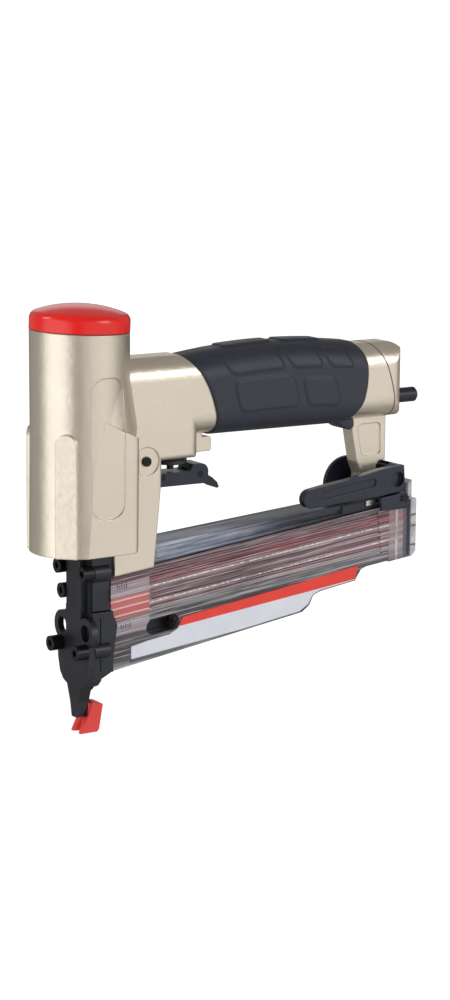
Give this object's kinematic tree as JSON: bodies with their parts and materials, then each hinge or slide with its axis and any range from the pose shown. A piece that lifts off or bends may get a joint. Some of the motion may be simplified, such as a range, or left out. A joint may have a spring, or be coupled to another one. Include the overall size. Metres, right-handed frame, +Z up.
{
  "type": "brad nailer",
  "caption": "Air-driven hand nailer for thin headless pins: upright barrel, rubber grip, finger trigger with lock-out lever, and a clear side-loading magazine.",
  "frame": {"origin": "where the drive axis meets the work, at the end of the nose tip", "axes": "+Z up the drive axis towards the cap, +X back along the handle towards the air inlet, -Y the clear side of the magazine"},
  "size_m": [0.2057, 0.0442, 0.1923],
  "materials": {
    "cast_housing": "satin champagne paint on a die casting",
    "red_cap": "gloss red",
    "black_rubber": "matte",
    "black_screw": "black oxide",
    "steel": "bright",
    "black_steel": "black oxide, satin",
    "black_plastic": "matte",
    "trigger_black": "satin blue-black",
    "grip_rubber": "matte, fine texture",
    "smoked_clear": "clear smoked, ribbed",
    "clear_plastic": "clear, frosted",
    "red_plastic": "gloss",
    "plain_label": "white film with a plain red band",
    "red_tip": "soft, satin",
    "latch_black": "satin moulded plastic"
  },
  "bodies": {
    "frame": {"housing": "cast_housing", "top_cap": "red_cap", "cap_gasket": "black_rubber", "cap_screws": "black_screw", "cylinder_sleeve": "steel", "bumper": "black_rubber", "head_valve_spring": "steel", "nose_base": "black_steel", "front_plate": "black_steel", "nose_screws": "black_screw", "side_block": "black_steel", "no_mar_tip": "red_tip", "trigger_pin": "black_screw", "trigger_valve": "black_plastic", "valve_spring": "steel", "grip_sleeve": "grip_rubber", "end_cap": "cast_housing", "air_plug": "black_steel", "magazine_base": "black_steel", "magazine_rail": "black_steel", "rail_block": "black_steel", "catch_block": "steel", "leg_screw": "black_screw"},
    "driver": {"piston": "steel", "piston_ring": "black_rubber", "driver_blade": "steel"},
    "head_valve": {"head_valve": "black_plastic"},
    "trigger": {"trigger": "trigger_black", "safety_pin": "black_screw", "stop_pin": "black_screw"},
    "safety_lever": {"safety_lever": "black_steel"},
    "valve_stem": {"valve_stem": "steel"},
    "magazine_door": {"magazine_cover": "smoked_clear", "inner_rail": "red_plastic", "label_plate": "plain_label", "magazine_end_cap": "clear_plastic", "hinge_bracket": "latch_black", "latch_pin": "black_screw"},
    "pusher": {"pusher": "red_plastic"},
    "latch": {"latch_lever": "latch_black"}
  },
  "joints": [
    {"name": "driver_stroke", "type": "slide", "parent": "frame", "child": "driver", "axis": [0, 0, -1], "range_m": [0, 0.0667]},
    {"name": "head_valve_lift", "type": "slide", "parent": "frame", "child": "head_valve", "axis": [0, 0, 1], "range_m": [0, 0.003], "stiffness_N_per_m": 400, "springref_m": -0.01, "deforming": ["head_valve_spring"]},
    {"name": "trigger_pull", "type": "hinge", "parent": "frame", "child": "trigger", "pos_m": [0.026, 0, 0.1222], "axis": [0, -1, 0], "range_deg": [0, 7], "stiffness_Nm_per_rad": 0.6, "springref_deg": -17.19},
    {"name": "safety_lift", "type": "hinge", "parent": "trigger", "child": "safety_lever", "pos_m": [0.0589, 0, 0.1124], "axis": [0, -1, 0], "range_deg": [0, 12], "stiffness_Nm_per_rad": 0.05, "springref_deg": -22.92},
    {"name": "stem_slide", "type": "slide", "parent": "frame", "child": "valve_stem", "axis": [0, 0, 1], "range_m": [0, 0.0025], "deforming": ["valve_spring"]},
    {"name": "magazine_slide", "type": "slide", "parent": "frame", "child": "magazine_door", "axis": [0.9945, 0, 0.1045], "range_m": [0, 0.1]},
    {"name": "pusher_slide", "type": "slide", "parent": "magazine_door", "child": "pusher", "axis": [0.9945, 0, 0.1045], "range_m": [0, 0.1], "stiffness_N_per_m": 15, "springref_m": -0.25},
    {"name": "latch_lift", "type": "hinge", "parent": "magazine_door", "child": "latch", "pos_m": [0.1674, 0, 0.09163], "axis": [0, 1, 0], "range_deg": [0, 18], "stiffness_Nm_per_rad": 0.1, "springref_deg": -22.92}
  ],
  "couplings": [
    {"joint": "stem_slide", "follows": "trigger_pull", "m_per_rad": 0.0202}
  ]
}
